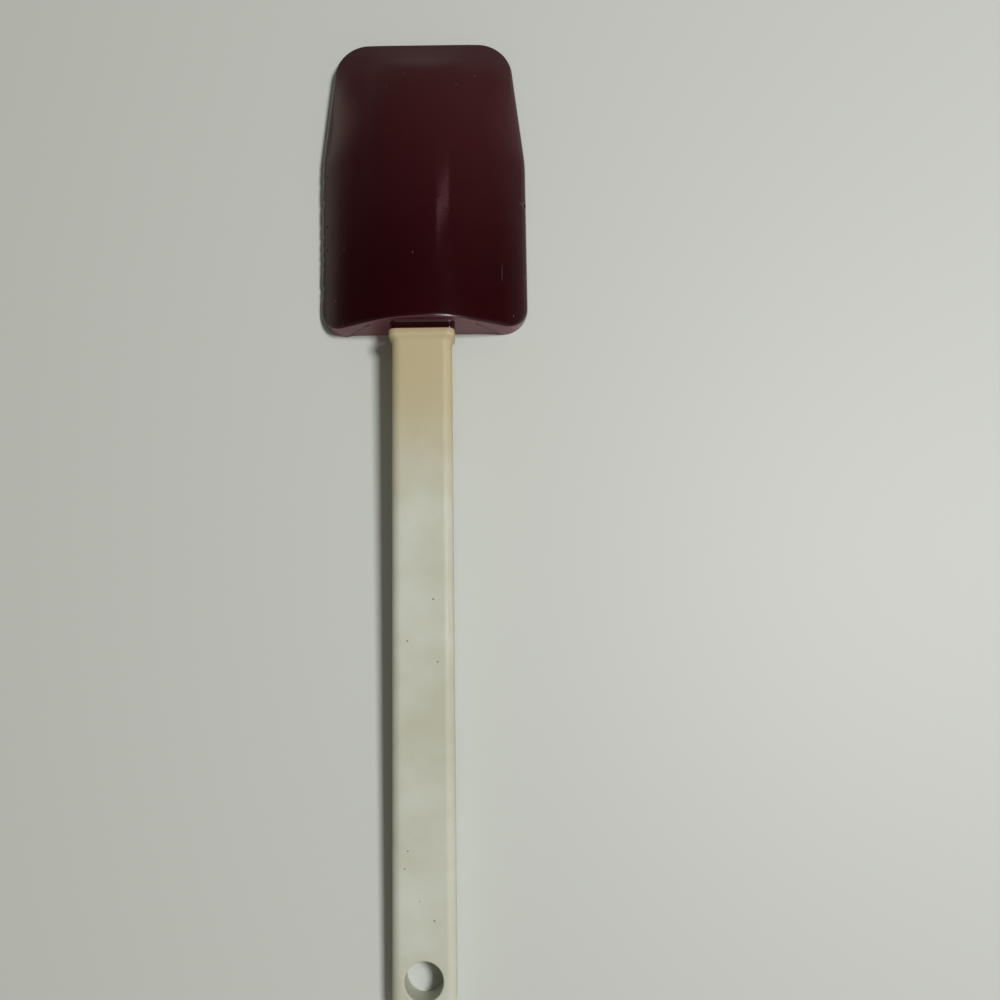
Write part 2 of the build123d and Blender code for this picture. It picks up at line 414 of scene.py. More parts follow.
mouth_edge = 0.3
root_steps, tube_steps, end_steps, socket_steps, close_steps = 4, 6, 3, 12, 3
neck_bend_steps, mouth_bend_steps = 4, 3
root_loop, neck_loop = neck_section(neck_root), neck_section(0)
root_start = across_neck(root_loop, heel_face(root_loop[:, 0], root_loop[:, 1] + neck_middle))
root_face = heel_face(neck_loop[:, 0], neck_loop[:, 1] + neck_middle)
root_end = across_neck(neck_loop, root_face - neck_root)
tube_end = across_neck(neck_loop, neck_edge - neck_length)
end_start = across_neck(neck_section(-neck_edge), -neck_length)
mouth = socket(-neck_length, mouth_edge)
mouth_in = socket(-neck_length + mouth_edge, 0)
socket_end = socket(tang_depth + fit_gap, 0)
socket_heart = across_neck(np.zeros((len(turned), 2)), tang_depth + fit_gap)
neck = np.concatenate(
    [
        window_edge[None],
        straight(window_edge, root_start, root_steps),
        bend(root_start, across_neck(neck_loop, root_face), root_end, neck_bend_steps),
        straight(root_end, tube_end, tube_steps),
        bend(tube_end, across_neck(neck_loop, -neck_length), end_start, neck_bend_steps),
        straight(end_start, mouth, end_steps),
        bend(mouth, socket(-neck_length, 0), mouth_in, mouth_bend_steps),
        straight(mouth_in, socket_end, socket_steps),
        straight(socket_end, socket_heart, close_steps),
    ]
)

# Hollow of the underside, in the same columns: the land that rests on the pan, the lip, the inner
# faces of heel, band and crown, and the boss that stands down from the crown round the socket. The
# heel's columns up to boss_column_half carry the boss, so one of them lies just there.
rim_land = 2.6
rim_lip = 0.8
heel_wall = 6.0
bowl_corner_radius = 9.0
crown_wall = 4.4
boss_half = neck_width / 2
boss_end_wall = 4.0
boss_reach = tang_depth + fit_gap + boss_end_wall
boss_nose_radius = 8.0
boss_column_half = 12.25
column_slack = 0.1
level = 1e-9


def ceiling(x, y):
    """Height of the hollow's ceiling: the lower of the crown less its wall and the inner band"""
    band = rim_lip + (inset_from_edge(x, y) - rim_land) * math.tan(band_angle)
    return lower_of(band, crown(x, y) - crown_wall, crease_blend)


# The lip: the outline moved in by the land, with the bowl's own corners at the heel
side_end = shoulder - shoulder_radius * math.tan(taper_turn / 2)
bowl_half = half_width - rim_land - bowl_corner_radius
bowl_start = heel_wall + bowl_corner_radius
lip = outline - outward * rim_land
on_side = (np.abs(outward[:, 1]) < level) & (outline[:, 1] < side_end)
side_y = np.interp(outline[:, 1], [heel_corner_radius, side_end], [bowl_start, side_end])
lip[:, 1] = np.where(on_side, side_y, lip[:, 1])
on_corner = (outward[:, 1] < -level) & ~on_heel
side_sign = np.sign(outline[:, 0])
corner_centre = np.stack([side_sign * bowl_half, np.full(len(outline), bowl_start)], axis=1)
lip = np.where(on_corner[:, None], corner_centre + outward * bowl_corner_radius, lip)
column_ends = [0, boss_column_half, half_width - heel_corner_radius]
lip_x = np.interp(np.abs(outline[:, 0]), column_ends, [0, boss_half, bowl_half])
lip_heel = np.stack([side_sign * lip_x, np.full(len(outline), heel_wall)], axis=1)
lip = np.where(on_heel[:, None], lip_heel, lip)
on_boss = on_heel & (np.abs(outline[:, 0]) < boss_column_half - column_slack)
boss_last = int(np.flatnonzero(on_boss)[-1]) + 1
boss_first = int(np.flatnonzero(on_boss)[0]) - 1

# The boss's outline takes its points at the same shares of its length as the lip has round the bowl
gone = np.linalg.norm(np.diff(lip, axis=0, append=lip[:1]), axis=1)
gone = np.concatenate([[0], np.cumsum(gone)])
length_round = gone[-1]
gone = np.where(np.arange(len(outline)) <= boss_first, gone[:-1] + length_round, gone[:-1])
half_way = (gone[boss_last] + gone[boss_first]) / 2
boss_share = np.clip(1 - np.abs(gone - half_way) / (half_way - gone[boss_last]), 0, 1)
boss_side = boss_reach - boss_nose_radius - heel_wall
nose_turn = boss_nose_radius * math.pi / 2
boss_gone = boss_share * (boss_side + nose_turn + boss_half - boss_nose_radius)
nose_angle = np.clip((boss_gone - boss_side) / boss_nose_radius, 0, math.pi / 2)
past_nose = np.maximum(boss_gone - boss_side - nose_turn, 0)
boss_x = boss_half - boss_nose_radius + boss_nose_radius * np.cos(nose_angle) - past_nose
boss_y = heel_wall + np.minimum(boss_gone, boss_side) + boss_nose_radius * np.sin(nose_angle)
boss_sign = np.where(gone < half_way, 1, -1)
boss_loop = np.stack([boss_sign * boss_x, boss_y], axis=1)
boss_loop = np.where(on_boss[:, None], lip, boss_loop)
nose_start, nose_end = heel_wall + boss_nose_radius, boss_reach - boss_nose_radius
boss_spine_y = np.clip(boss_loop[:, 1], nose_start, nose_end)
boss_spine = np.stack([np.zeros(len(outline)), boss_spine_y], axis=1)

land_steps, lip_steps, rise_steps, ceiling_steps, boss_steps = 3, 5, 8, 24, 7
lip_top = np.where(on_boss, neck_bottom, ceiling(lip[:, 0], lip[:, 1]))
lip_rest, lip_low = stand(lip, 0.0), stand(lip, np.minimum(lip_top, neck_bottom))
boss_root = np.where(on_boss, neck_bottom, ceiling(boss_loop[:, 0], boss_loop[:, 1]))
boss_foot = stand(boss_loop, neck_bottom)
hollow_plan = straight(lip, boss_loop, ceiling_steps)
hollow_height = ceiling(hollow_plan[..., 0], hollow_plan[..., 1])
hollow = np.concatenate(
    [
        foot_in[None],
        straight(foot_in, lip_rest, land_steps),
        straight(lip_rest, lip_low, lip_steps),
        straight(lip_low, stand(lip, lip_top), rise_steps),
        stand(hollow_plan, np.where(on_boss, neck_bottom, hollow_height)),
        straight(stand(boss_loop, boss_root), boss_foot, rise_steps),
        straight(boss_foot, stand(boss_spine, neck_bottom), boss_steps),
    ]
)
lip_row = land_steps + lip_steps
boss_row = lip_row + rise_steps + ceiling_steps + rise_steps
flap = np.zeros((len(hollow) - 1, len(outline)), bool)
flap[lip_row:boss_row, boss_first:boss_last] = True

merge_distance = 2e-7
sharp_angle = math.radians(32)


def piece_mesh(name, grids):
    """A closed mesh object from grids of points, each with whether its columns close into a ring
    and the mask of faces that it leaves out: shared borders are merged, loose points dropped, faces
    turned outwards, and sharp edges kept sharp."""
    points, faces = [], []
    for grid, closed, hole in grids:
        start = sum(len(part) for part in points)
        faces.append(grid_faces(grid.shape[0], grid.shape[1], closed, hole, start))
        points.append(in_frame(grid).reshape(-1, 3))
    mesh = bpy.data.meshes.new(name)
    mesh.from_pydata(np.concatenate(points).tolist(), [], np.concatenate(faces).tolist())
    shape = bmesh.new()
    shape.from_mesh(mesh)
    bmesh.ops.remove_doubles(shape, verts=shape.verts, dist=merge_distance)
    loose = [vertex for vertex in shape.verts if not vertex.link_faces]
    bmesh.ops.delete(shape, geom=loose, context="VERTS")
    bmesh.ops.recalc_face_normals(shape, faces=shape.faces)
    shape.to_mesh(mesh)
    shape.free()
    mesh.shade_smooth()
    mesh.set_sharp_from_angle(angle=sharp_angle)
    piece = bpy.data.objects.new(name, mesh)
    bpy.context.scene.collection.objects.link(piece)
    return piece


head = piece_mesh("silicone_head", [(skin, True, window), (neck, True, None), (hollow, True, flap)])


def linear(colour):
    """Linear colour of an sRGB hex value: c / 12.92 below 0.04045, or ((c + 0.055) / 1.055)^2.4"""
    channels = [int(colour[place : place + 2], 16) / 255 for place in (1, 3, 5)]
    return [c / 12.92 if c < 0.04045 else ((c + 0.055) / 1.055) ** 2.4 for c in channels] + [1.0]


def add_node(material, kind, settings=None, links=None):
    """Adds a node, sets its properties or the default values of its inputs, which are named or
    numbered, and links its inputs to outputs of other nodes. A node stands for its first output."""
    node = material.node_tree.nodes.new("ShaderNode" + kind)
    for name, value in (settings or {}).items():
        if isinstance(name, int) or name in node.inputs:
            node.inputs[name].default_value = value
        else:
            setattr(node, name, value)
    for name, source in (links or {}).items():
        output = source.outputs[0] if isinstance(source, bpy.types.Node) else source
        material.node_tree.links.new(output, node.inputs[name])
    return node


def per_metre(size):
    """Texture scale at which one feature of a pattern measures size millimetres"""
    return 1 / (size * millimetre)


def moulding(name, ior, share, depth):
    """A moulded material that a share of the light enters, with the depths in metres that its red,
    green and blue reach, and the material's shader"""
    material = bpy.data.materials.new(name)
    material.use_nodes = True
    shader = material.node_tree.nodes["Principled BSDF"]
    shader.inputs["IOR"].default_value = ior
    shader.inputs["Subsurface Weight"].default_value = share
    shader.inputs["Subsurface Radius"].default_value = depth
    shader.inputs["Subsurface Scale"].default_value = 1.0
    return material, shader


# Moulded silicone rubber: a dense maroon, polished by its mould to a soft gloss that sweeps over
# the crown. The skin is faintly uneven, kitchen dust clings to it as pale specks, and fine flow
# lines of the filled mould run along the heel's edge.
# Colours: two maroons that vary at random, a paler maroon for the tip's wear and painted light, a
# pale pink for the painted sheen on the heel's face, a dust grey, and a near black for the dark cuts
# and the painted shade in the step
maroon_deep = "#210408"
maroon_faded = "#290609"
maroon_worn_and_lit = "#330c12"
heel_face_sheen = "#7c4a54"
dust_grey = "#7d726c"
cut_dark_and_step_shade = "#140406"
noise_low, noise_high = 0.3, 0.7
rubber_depth = (0.0012, 0.0004, 0.0004)
rubber, rubber_shader = moulding("moulded_silicone_rubber", 1.41, 0.02, rubber_depth)
place = add_node(rubber, "TexCoord").outputs["Object"]
placed = add_node(rubber, "SeparateXYZ", None, {"Vector": place})

mottle_size = 14.0
mottle = add_node(
    rubber, "TexNoise", {"Scale": per_metre(mottle_size), "Detail": 4.0}, {"Vector": place}
)
mottled = add_node(
    rubber,
    "Mix",
    {"data_type": "RGBA", 6: linear(maroon_deep), 7: linear(maroon_faded)},
    {"Factor": mottle},
)

# Distance from the heel's lower edge along the tool, in millimetres
tool_axis = (0, math.cos(rest_angle), math.sin(rest_angle))
along_tool = {"operation": "DOT_PRODUCT", 1: tool_axis}
along = add_node(rubber, "VectorMath", along_tool, {0: place}).outputs["Value"]
from_heel = add_node(
    rubber,
    "Math",
    {"operation": "MULTIPLY_ADD", 1: 1 / millimetre, 2: -heel_y * math.cos(rest_angle)},
    {0: along},
)

# Paler towards the tip: partly wear from scraping, partly painted light where the tip catches more
# light
tip_pale_start = 15.0
tip_pale_full = 90.0
wear_and_tip_light = add_node(
    rubber,
    "MapRange",
    {"interpolation_type": "SMOOTHSTEP", "From Min": tip_pale_start, "From Max": tip_pale_full},
    {"Value": from_heel},
)

# The heel's face, which looks straight back, is matt, and painted paler pink as a painted sheen
face_reach = 3.0
face_turn_start, face_turn_full = -0.6, -0.9
normal = add_node(rubber, "NewGeometry").outputs["Normal"]
facing = add_node(rubber, "VectorMath", along_tool, {0: normal}).outputs["Value"]
faces_back = add_node(
    rubber, "MapRange", {"From Min": face_turn_start, "From Max": face_turn_full}, {"Value": facing}
)
near_heel = add_node(rubber, "Math", {"operation": "LESS_THAN", 1: face_reach}, {0: from_heel})
times = {"operation": "MULTIPLY"}
on_face = add_node(rubber, "Math", times, {0: faces_back, 1: near_heel})

# A speck shows where the surface passes within its radius of one of a share of the scattered points
speck_spacing = 3.2
speck_radius = 0.17
speck_share = 0.16
scatter = add_node(rubber, "TexVoronoi", {"Scale": per_metre(speck_spacing)}, {"Vector": place})
lot = add_node(rubber, "SeparateColor", None, {"Color": scatter.outputs["Color"]})
speck_near = add_node(
    rubber, "Math", {"operation": "LESS_THAN", 1: speck_radius / speck_spacing}, {0: scatter}
)
speck_chosen = add_node(rubber, "Math", {"operation": "LESS_THAN", 1: speck_share}, {0: lot})
speck = add_node(rubber, "Math", times, {0: speck_near, 1: speck_chosen})

# Cuts along the rim on the left, where the tool scrapes the pan, are painted dark
cut_spacing = 2.4
cut_radius = 0.55
cut_heart = 0.6
cut_share = 0.7
cut_reach = 2.8
cut_scatter = add_node(rubber, "TexVoronoi", {"Scale": per_metre(cut_spacing)}, {"Vector": place})
cut_lot = add_node(rubber, "SeparateColor", None, {"Color": cut_scatter.outputs["Color"]})
cut = add_node(
    rubber,
    "MapRange",
    {"From Min": cut_radius / cut_spacing, "From Max": cut_heart * cut_radius / cut_spacing},
    {"Value": cut_scatter},
)
for source, limit in (
    (cut_lot.outputs["Green"], cut_share),
    (placed.outputs["X"], (cut_reach - half_width) * millimetre),
    (placed.outputs["Y"], (heel_y + shoulder) * millimetre),
):
    below = add_node(rubber, "Math", {"operation": "LESS_THAN", 1: limit}, {0: source})
    cut = add_node(rubber, "Math", times, {0: cut, 1: below})

# Painted shadow in the same dark colour along the slanted sides of the step on the heel's face,
# which the proud face beside it shades
step_shade_half = 0.9
from_middle = add_node(rubber, "Math", {"operation": "ABSOLUTE"}, {0: placed.outputs["X"]})
step_side = add_node(
    rubber,
    "Math",
    {"operation": "MULTIPLY_ADD", 1: step_lean},
    {0: placed.outputs["Z"], 2: from_middle},
)
step_line = add_node(
    rubber,
    "Math",
    {"operation": "COMPARE", 1: step_foot_width / 2 * millimetre, 2: step_shade_half * millimetre},
    {0: step_side},
)
below_top = add_node(
    rubber,
    "Math",
    {"operation": "LESS_THAN", 1: step_height * millimetre},
    {0: placed.outputs["Z"]},
)
step_shade = add_node(rubber, "Math", times, {0: step_line, 1: below_top})
step_shade = add_node(rubber, "Math", times, {0: step_shade, 1: near_heel})

# The colours lie over each other in this order, the last on top: the paler tip of wear and painted
# light, the painted sheen of the heel's face, dust, the dark cuts and the painted shade of the step
rubber_colour = mottled.outputs[2]
for mask, colour in (
    (wear_and_tip_light, maroon_worn_and_lit),
    (on_face, heel_face_sheen),
    (speck, dust_grey),
    (cut, cut_dark_and_step_shade),
    (step_shade, cut_dark_and_step_shade),
):
    over = {"data_type": "RGBA", 7: linear(colour)}
    rubber_colour = add_node(rubber, "Mix", over, {"Factor": mask, 6: rubber_colour}).outputs[2]
rubber.node_tree.links.new(rubber_colour, rubber_shader.inputs["Base Color"])

# Handled rubber is a little duller in patches, and dull beside the heel's edge. The tip is scraped
# matt, and a speck of dust or a cut is dull.
smudge_size = 9.0
gloss_least, gloss_most = 0.08, 0.13
tip_matt_reach = 26.0
tip_dullness = 0.8
heel_dullness = 0.45
heel_dull_start, heel_dull_full = 3.0, 0.8
neck_clear = 0.3
smudge = add_node(
    rubber, "TexNoise", {"Scale": per_metre(smudge_size), "Detail": 5.0}, {"Vector": place}
)
dull = add_node(
    rubber,
    "MapRange",
    {"From Min": noise_low, "From Max": noise_high, "To Min": gloss_least, "To Max": gloss_most},
    {"Value": smudge},
)
scraped = add_node(
    rubber,
    "MapRange",
    {
        "interpolation_type": "SMOOTHSTEP",
        "From Min": head_length - tip_matt_reach,
        "From Max": head_length,
        "To Max": tip_dullness,
    },
    {"Value": from_heel},
)
by_edge = add_node(
    rubber,
    "MapRange",
    {"From Min": heel_dull_start, "From Max": heel_dull_full, "To Max": heel_dullness},
    {"Value": from_heel},
)
off_neck = add_node(
    rubber, "MapRange", {"From Min": -neck_clear, "From Max": neck_clear}, {"Value": from_heel}
)
edge_matt = add_node(rubber, "Math", times, {0: by_edge, 1: off_neck})
for mask in (edge_matt, scraped, cut, speck):
    dull = add_node(rubber, "Math", {"operation": "MAXIMUM"}, {0: dull, 1: mask})
rubber.node_tree.links.new(dull.outputs[0], rubber_shader.inputs["Roughness"])

# Skin: slow sway left by shrinkage of the rubber, flow lines across the tool where the mould filled
# last, at the heel's edge, and over all of it the mould's fine orange peel
sway_size = 16.0
sway_depth = 0.1
flow_length = 60.0
flow_width = 1.1
flow_depth = 0.12
flow_reach = 4.0
flow_full = 1.0
flow_on_face = 0.15
sway = add_node(
    rubber, "TexNoise", {"Scale": per_metre(sway_size), "Detail": 1.0}, {"Vector": place}
)
sway_bump = add_node(rubber, "Bump", {"Distance": sway_depth * millimetre}, {"Height": sway})
stretch = add_node(
    rubber,
    "Mapping",
    {"Scale": (per_metre(flow_length), per_metre(flow_width), per_metre(flow_width))},
    {"Vector": place},
)
flow = add_node(rubber, "TexNoise", {"Scale": 1.0, "Detail": 1.0}, {"Vector": stretch})
by_heel = add_node(
    rubber, "MapRange", {"From Min": flow_reach, "From Max": flow_full}, {"Value": from_heel}
)
off_face = add_node(rubber, "MapRange", {"To Min": 1.0, "To Max": flow_on_face}, {"Value": on_face})
flowing = add_node(rubber, "Math", times, {0: by_heel, 1: off_face})
flow_bump = add_node(
    rubber,
    "Bump",
    {"Distance": flow_depth * millimetre},
    {"Height": flow, "Normal": sway_bump, "Strength": flowing},
)

# A shallow mark beside the right crease, pressed in by something thin: an oval dent
mark_x = 28.7
mark_from_heel = 20.0
mark_length = 10.0
mark_width = 0.3
mark_depth = 0.12
mark_turn = math.radians(-2)
mark_place = add_node(
    rubber,
    "Mapping",
    {
        "vector_type": "TEXTURE",
        "Location": (mark_x * millimetre, (heel_y + mark_from_heel) * millimetre, 0),
        "Rotation": (0, 0, mark_turn),
        "Scale": (mark_width * millimetre, mark_length / 2 * millimetre, 1),
    },
    {"Vector": place},
)
mark_oval = add_node(rubber, "VectorMath", {"operation": "MULTIPLY", 1: (1, 1, 0)}, {0: mark_place})
mark_away = add_node(rubber, "VectorMath", {"operation": "LENGTH"}, {0: mark_oval})
mark_dent = add_node(
    rubber, "MapRange", {"interpolation_type": "SMOOTHSTEP"}, {"Value": mark_away.outputs["Value"]}
)
mark_bump = add_node(
    rubber,
    "Bump",
    {"Distance": mark_depth * millimetre},
    {"Height": mark_dent, "Normal": flow_bump},
)
cut_depth = 0.5
cut_bump = add_node(
    rubber,
    "Bump",
    {"Distance": cut_depth * millimetre, "invert": True},
    {"Height": cut, "Normal": mark_bump},
)
peel_size = 1.1
peel_depth = 0.012
peel = add_node(
    rubber, "TexNoise", {"Scale": per_metre(peel_size), "Detail": 3.0}, {"Vector": place}
)
peel_bump = add_node(
    rubber, "Bump", {"Distance": peel_depth * millimetre}, {"Height": peel, "Normal": cut_bump}
)
rubber.node_tree.links.new(peel_bump.outputs["Normal"], rubber_shader.inputs["Normal"])
head.data.materials.append(rubber)
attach(head, "head")
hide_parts("head")

# Handle: one moulding of off-white nylon, a flat bar with rounded edges, a hole to hang it by and a
# collar that stops against the head. The ribbed tang beyond the collar is hidden in the head.
handle_length = 228.0
grip_width = 20.8
grip_thickness = 11.0
grip_underside = 7.7
grip_edge_radius = 3.0
tail_corner_radius = 6.5
hang_hole_radius = 6.25
hang_hole_from_tail = 12.0
hang_hole_edge = 0.5
collar_width = 22.9
collar_height = 12.6
collar_corner_radius = 2.6
collar_thickness = 2.2
collar_taper = 2.2
collar_edge = 0.6
grip_top = grip_underside + grip_thickness
grip_middle = grip_underside + grip_thickness / 2
collar_reach = -neck_length - fit_gap
tail_reach = collar_reach - handle_length

# Section of the bar: four straights and four quarter rounds, each point a corner's centre or a
# share of the straight between two centres, and the outward normal there
flat_steps, round_steps, upright_steps = 32, 8, 4
section_centre, section_normal = [], []
for quarter, steps in enumerate((flat_steps, upright_steps, flat_steps, upright_steps)):
    facing = math.pi / 2 - quarter * math.pi / 2
    up = np.array([round(math.cos(facing)), round(math.sin(facing))])
    across = np.array([up[1], -up[0]])
    share = np.linspace(-1, 1, steps + 1)[:, None]
    bearing = facing - np.linspace(0, math.pi / 2, round_steps + 1)[1:-1]
    section_centre += [up + across * share, np.repeat((up + across)[None], round_steps - 1, axis=0)]
    section_normal += [np.repeat(up[None], steps + 1, axis=0)]
    section_normal += [np.stack([np.cos(bearing), np.sin(bearing)], axis=1)]
section_centre = np.concatenate(section_centre)
section_normal = np.concatenate(section_normal)


def bar_section(reach, width, thickness, radius, middle):
    """Rounded rectangles across the tool, one row for each value of the arrays given: centre *
    (half size - radius) + normal * radius, about the middle's height."""
    half = np.stack([width / 2 - radius, thickness / 2 - radius], axis=-1)[:, None]
    loop = section_centre * half + section_normal * np.asarray(radius)[:, None, None]
    along = np.broadcast_to(np.asarray(reach)[:, None], loop.shape[:2])
    return np.stack([loop[..., 0], along, loop[..., 1] + np.asarray(middle)[:, None]], axis=-1)


# Bar, collar and tang, as rows of sections from the tail's patch to the tang's end
bar_steps, taper_rows, lip_bend_steps, face_steps, tang_steps, tang_close_steps = 40, 6, 5, 5, 40, 3
patch_reach = tail_reach + 2 * hang_hole_from_tail
bar_end = collar_reach - collar_thickness - collar_taper
bar_reach = np.linspace(patch_reach, bar_end, bar_steps + 1)
taper = even(taper_rows)
swell = smooth_step(taper)
edge_bow = np.linspace(0, math.pi / 2, lip_bend_steps + 1)[1:]
lip_in = collar_edge * (1 - np.cos(edge_bow))
lip_width, lip_height = collar_width - 2 * collar_edge, collar_height - 2 * collar_edge
lip_radius = collar_corner_radius - collar_edge
to_root = even(face_steps)
tang_run = even(tang_steps)
ones = np.ones_like
profile = [
    (
        bar_reach,
        grip_width * ones(bar_reach),
        grip_thickness * ones(bar_reach),
        grip_edge_radius * ones(bar_reach),
    ),
    (
        bar_reach[-1] + collar_taper * taper,
        grip_width + (collar_width - grip_width) * swell,
        grip_thickness + (collar_height - grip_thickness) * swell,
        grip_edge_radius + (collar_corner_radius - grip_edge_radius) * swell,
    ),
    (
        collar_reach - collar_edge + collar_edge * np.sin(edge_bow),
        collar_width - 2 * lip_in,
        collar_height - 2 * lip_in,
        collar_corner_radius - lip_in,
    ),
    (
        collar_reach * ones(to_root),
        lip_width + (tang_root_width - lip_width) * to_root,
        lip_height + (tang_root_thickness - lip_height) * to_root,
        lip_radius + (tang_corner_radius - lip_radius) * to_root,
    ),
    (
        collar_reach + (tang_depth - collar_reach) * tang_run,
        tang_root_width + (tang_end_width - tang_root_width) * tang_run,
        tang_root_thickness + (tang_end_thickness - tang_root_thickness) * tang_run,
        tang_corner_radius * ones(tang_run),
    ),
]
middle = np.concatenate(
    [
        np.full(len(bar_reach) + len(taper) + len(edge_bow), grip_middle),
        grip_middle + (neck_middle - grip_middle) * to_root,
        np.full(len(tang_run), neck_middle),
    ]
)
reach, width, thickness, radius = (np.concatenate(column) for column in zip(*profile))
bar = bar_section(reach, width, thickness, radius, middle)

# The tang's two pairs of ribs rise out of its root and run to its end
tang = bar[-tang_steps - 1 :]
rise = rib_rise(tang[..., 0], thickness[-tang_steps - 1 :, None], 0)
tang[..., 2] = neck_middle + (tang[..., 2] - neck_middle) * rise
tang_heart = np.broadcast_to(np.array([0.0, tang_depth, neck_middle]), bar[-1].shape)
bar = np.concatenate([bar, straight(bar[-1], tang_heart, tang_close_steps)])

# Patch of the tail: flat rings round the hanging hole out to where the rounding of the edges
# starts, on both faces, and the rounding itself along the three outer sides
tail_steps, tail_side_steps, tail_arc_steps = 10, 20, 12
flat_half = grip_width / 2 - grip_edge_radius
flat_corner = tail_corner_radius - grip_edge_radius
flat_tail = tail_reach + grip_edge_radius
patch, patch_out = rounded_outline(
    [
        (-flat_half, flat_tail),
        (flat_half, flat_tail),
        (flat_half, patch_reach),
        (-flat_half, patch_reach),
    ],
    [flat_corner, flat_corner, 0, 0],
    [tail_steps, tail_side_steps, flat_steps, tail_side_steps],
    [tail_arc_steps, tail_arc_steps, 0, 0],
)
cut_start = 2 * tail_arc_steps + tail_steps + tail_side_steps
cut_end = cut_start + flat_steps
patch_out[cut_end] = (-1, 0)
hole_centre = np.array([0, tail_reach + hang_hole_from_tail])
from_hole = patch - hole_centre
from_hole /= np.linalg.norm(from_hole, axis=1)[:, None]


def hole_ring(grow, height):
    """Circle about the hole's axis, in the directions of the patch's border points"""
    return stand(hole_centre + from_hole * (hang_hole_radius + grow), height)


ring_steps, hole_bend_steps, hole_steps = 5, 4, 6
low_face, high_face = stand(patch, grip_underside), stand(patch, grip_top)
low_ring, high_ring = hole_ring(hang_hole_edge, grip_underside), hole_ring(hang_hole_edge, grip_top)
low_wall = hole_ring(0, grip_underside + hang_hole_edge)
high_wall = hole_ring(0, grip_top - hang_hole_edge)
tail_patch = np.concatenate(
    [
        low_face[None],
        straight(low_face, low_ring, ring_steps),
        bend(low_ring, hole_ring(0, grip_underside), low_wall, hole_bend_steps),
        straight(low_wall, high_wall, hole_steps),
        bend(high_wall, hole_ring(0, grip_top), high_ring, hole_bend_steps),
        straight(high_ring, high_face, ring_steps),
    ]
)
rim_columns = np.concatenate([np.arange(cut_end, len(patch)), np.arange(cut_start + 1)])
edge_angle = np.linspace(0, math.pi / 2, round_steps + 1)
upright = even(upright_steps)[:-1]
tail_out = np.concatenate([np.sin(edge_angle), ones(upright), np.cos(edge_angle)])
tail_height = np.concatenate(
    [
        grip_top - grip_edge_radius * (1 - np.cos(edge_angle)),
        grip_top - grip_edge_radius - (grip_thickness - 2 * grip_edge_radius) * upright,
        grip_underside + grip_edge_radius * (1 - np.sin(edge_angle)),
    ]
)
out_by = tail_out[:, None, None] * grip_edge_radius
tail_rim = stand(patch[rim_columns] + patch_out[rim_columns] * out_by, tail_height[:, None])
handle = piece_mesh(
    "nylon_handle", [(bar, True, None), (tail_patch, True, None), (tail_rim, False, None)]
)

# Moulded nylon: an off-white, slightly cloudy plastic with a satin skin. Years of hot fat stained
# it tan beside the head, and use left fine lengthwise scratches and a few dark flecks.
off_white = "#c1c5b9"
cloud_grey = "#b2b39f"
tan_stain = "#b1a47f"
lip_stain = "#ac977c"
fleck_brown = "#6f6650"
nylon, nylon_shader = moulding("moulded_nylon", 1.53, 0.08, (0.0015, 0.0013, 0.0009))
place = add_node(nylon, "TexCoord").outputs["Object"]
along = add_node(nylon, "SeparateXYZ", None, {"Vector": place}).outputs["Y"]

cloud_size = 24.0
cloud_low, cloud_high = 0.35, 0.7
cloud = add_node(
    nylon, "TexNoise", {"Scale": per_metre(cloud_size), "Detail": 4.0}, {"Vector": place}
)
cloud_share = add_node(
    nylon, "MapRange", {"From Min": cloud_low, "From Max": cloud_high}, {"Value": cloud}
)

# Stain: it deepens along the handle towards the head, with an uneven front, and is another brown on
# the collar's lip
stain_start = -25.0
stain_full = 56.0
front_sway = 26.0
lip_start = heel_y + collar_reach - collar_thickness
lip_softness = 0.6
front = add_node(
    nylon, "Math", {"operation": "MULTIPLY_ADD", 1: front_sway * millimetre}, {0: cloud, 2: along}
)
stain = add_node(
    nylon,
    "MapRange",
    {
        "interpolation_type": "SMOOTHSTEP",
        "From Min": (stain_start + front_sway / 2) * millimetre,
        "From Max": (stain_full + front_sway / 2) * millimetre,
    },
    {"Value": front},
)
on_lip = add_node(
    nylon,
    "MapRange",
    {
        "From Min": (lip_start - lip_softness) * millimetre,
        "From Max": (lip_start + lip_softness) * millimetre,
    },
    {"Value": along},
)

fleck_spacing = 5.0
fleck_radius = 0.3
fleck_lot = 0.6
scatter = add_node(nylon, "TexVoronoi", {"Scale": per_metre(fleck_spacing)}, {"Vector": place})
lot = add_node(nylon, "SeparateColor", None, {"Color": scatter.outputs["Color"]})
fleck_near = add_node(
    nylon, "Math", {"operation": "LESS_THAN", 1: fleck_radius / fleck_spacing}, {0: scatter}
)
fleck_chosen = add_node(nylon, "Math", {"operation": "GREATER_THAN", 1: fleck_lot}, {0: lot})
fleck = add_node(nylon, "Math", times, {0: fleck_near, 1: fleck_chosen})

cloudy = {"data_type": "RGBA", 6: linear(off_white), 7: linear(cloud_grey)}
nylon_colour = add_node(nylon, "Mix", cloudy, {"Factor": cloud_share}).outputs[2]
for mask, colour in ((stain, tan_stain), (on_lip, lip_stain), (fleck, fleck_brown)):
    over = {"data_type": "RGBA", 7: linear(colour)}
    nylon_colour = add_node(nylon, "Mix", over, {"Factor": mask, 6: nylon_colour}).outputs[2]
nylon.node_tree.links.new(nylon_colour, nylon_shader.inputs["Base Color"])

